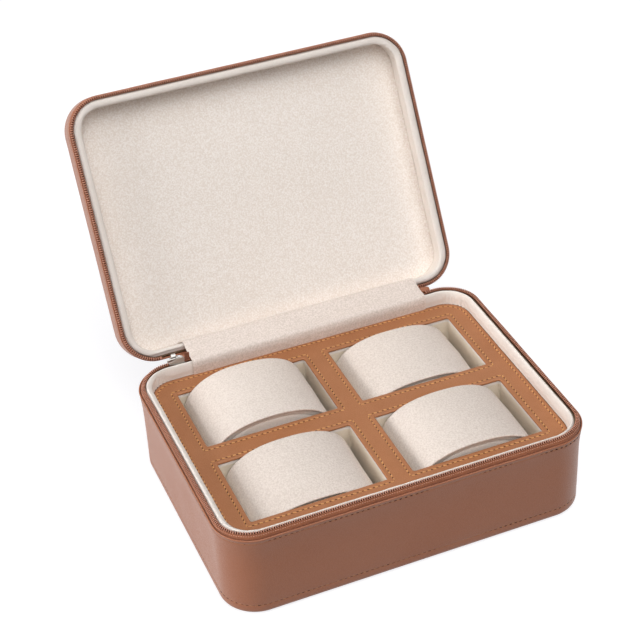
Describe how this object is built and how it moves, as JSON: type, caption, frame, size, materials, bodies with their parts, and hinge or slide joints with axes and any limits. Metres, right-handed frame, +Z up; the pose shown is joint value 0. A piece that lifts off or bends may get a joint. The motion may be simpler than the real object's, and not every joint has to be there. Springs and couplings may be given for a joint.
{
  "type": "watch travel case",
  "caption": "Zipped leather travel case for watches, with an open hinged lid, a padded cream lining and a stitched tray of pockets holding removable cushions.",
  "frame": {"origin": "centre of the base's underside, on the table", "axes": "+Z up, +Y towards the hinge, +X along the front to the right"},
  "size_m": [0.2134, 0.2605, 0.1877],
  "materials": {
    "leather": "smooth tan with a fine grain",
    "lining": "cream velvet",
    "cushion_cover": "cream velvet",
    "foam": "open-cell foam",
    "board": "plain grey-brown board",
    "tape": "woven brown tape",
    "teeth": "brown nylon coil",
    "slider_metal": "polished"
  },
  "bodies": {
    "base": {"side_leather": "leather", "bottom_leather": "leather", "floor_board": "board", "wall_board": "board", "wall_lining": "lining", "tray_leather": "leather", "tray_board": "board", "block_front": "foam", "block_middle": "foam", "block_back": "foam", "blocks_left": "foam", "blocks_centre": "foam", "blocks_right": "foam", "pocket_front_left": "lining", "pocket_front_right": "lining", "pocket_back_left": "lining", "pocket_back_right": "lining", "pad_front_left": "cushion_cover", "pad_front_right": "cushion_cover", "pad_back_left": "cushion_cover", "pad_back_right": "cushion_cover", "base_tape": "tape", "base_teeth": "teeth", "tape_end": "tape", "leather_hinge": "leather", "lining_hinge": "lining"},
    "lid": {"lid_leather": "leather", "lid_padding": "foam", "lid_shell": "board", "lid_board": "board", "lid_wall_lining": "lining", "lid_panel": "lining", "lid_tape": "tape", "lid_teeth": "teeth"},
    "slider": {"zip_slider": "slider_metal", "slider_bail": "slider_metal"},
    "pull": {"pull_link": "slider_metal", "pull_tab": "leather"},
    "cushion_front_left": {"sleeve_front_left": "cushion_cover", "core_front_left": "foam", "ends_front_left": "cushion_cover"},
    "cushion_front_right": {"sleeve_front_right": "cushion_cover", "core_front_right": "foam", "ends_front_right": "cushion_cover"},
    "cushion_back_left": {"sleeve_back_left": "cushion_cover", "core_back_left": "foam", "ends_back_left": "cushion_cover"},
    "cushion_back_right": {"sleeve_back_right": "cushion_cover", "core_back_right": "foam", "ends_back_right": "cushion_cover"}
  },
  "joints": [
    {"name": "lid_hinge", "type": "hinge", "parent": "base", "child": "lid", "pos_m": [0, 0.0803, 0.053], "axis": [-1, 0, 0], "range_deg": [-120, 0], "deforming": ["leather_hinge", "lining_hinge"]},
    {"name": "slider_run", "type": "slide", "parent": "base", "child": "slider", "axis": [1, 0, 0], "range_m": [-0.0034, 0]},
    {"name": "pull_swing", "type": "hinge", "parent": "slider", "child": "pull", "pos_m": [-0.079, 0.0812, 0.0568], "axis": [1, 0, 0], "range_deg": [-2, 36]},
    {"name": "cushion_front_left_lift", "type": "slide", "parent": "base", "child": "cushion_front_left", "axis": [0, 0, 1], "range_m": [0, 0.05]},
    {"name": "cushion_front_right_lift", "type": "slide", "parent": "base", "child": "cushion_front_right", "axis": [0, 0, 1], "range_m": [0, 0.05]},
    {"name": "cushion_back_left_lift", "type": "slide", "parent": "base", "child": "cushion_back_left", "axis": [0, 0, 1], "range_m": [0, 0.05]},
    {"name": "cushion_back_right_lift", "type": "slide", "parent": "base", "child": "cushion_back_right", "axis": [0, 0, 1], "range_m": [0, 0.05]}
  ]
}
